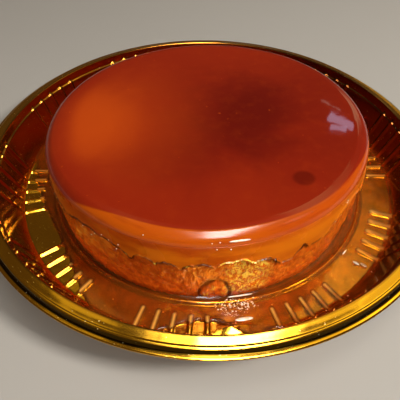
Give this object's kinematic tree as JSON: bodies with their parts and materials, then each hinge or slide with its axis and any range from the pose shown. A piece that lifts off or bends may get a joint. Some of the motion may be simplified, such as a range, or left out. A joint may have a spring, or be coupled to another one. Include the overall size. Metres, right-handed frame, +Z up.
{
  "type": "creme caramel flan on a round serving platter",
  "caption": "Round set custard with a glossy caramel layer, standing in its sauce on a shallow ribbed gold platter with a raised rim.",
  "frame": {"origin": "centre of the platter's flat underside", "axes": "+Z up through the middle of the platter; the side with the sauce's dry bays faces -Y"},
  "size_m": [0.305, 0.3044, 0.0588],
  "materials": {
    "platter_gold": "mirror-bright gold film on thin moulded plastic",
    "custard_side": "moist set custard, stained with caramel, smooth above a rough torn ledge",
    "caramel_layer": "wet, glossy, clear red-brown caramel",
    "caramel_sauce": "thin clear amber syrup"
  },
  "bodies": {
    "root": {"platter": "platter_gold", "custard": "custard_side", "caramel_top": "caramel_layer", "caramel_pool": "caramel_sauce"}
  },
  "joints": []
}
